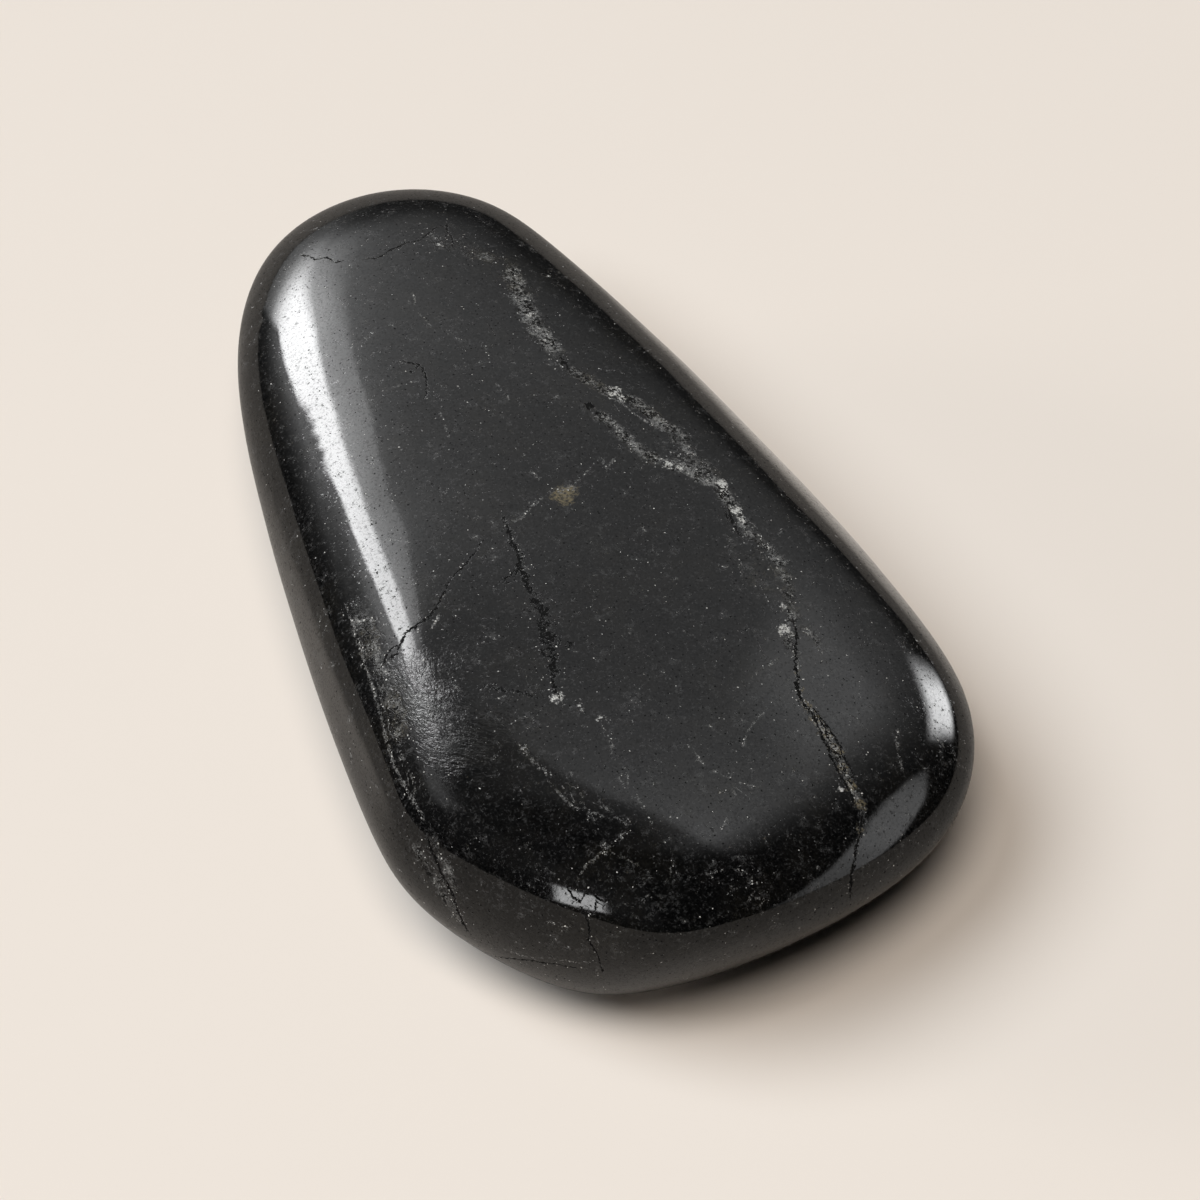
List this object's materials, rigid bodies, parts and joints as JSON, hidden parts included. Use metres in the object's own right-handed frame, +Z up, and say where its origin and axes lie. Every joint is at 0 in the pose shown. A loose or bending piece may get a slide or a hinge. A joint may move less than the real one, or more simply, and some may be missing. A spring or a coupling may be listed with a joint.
{
  "type": "tumbled shungite stone",
  "caption": "Tumbled shungite: a flat, three-cornered black pebble with rounded rims and a polished skin, which lies on a small worn flat.",
  "frame": {"origin": "under the middle of the stone's bounding box, on the surface it rests on", "axes": "+Z up, through the stone's thickness; +Y along the stone towards its narrow end; +X to the right when looking along +Y"},
  "size_m": [0.026, 0.0462, 0.0121],
  "materials": {
    "shungite": "tumble-polished, glassy black with grey-brown veins, hairline cracks and fine pits"
  },
  "bodies": {
    "root": {"tumbled_shungite": "shungite"}
  },
  "joints": []
}
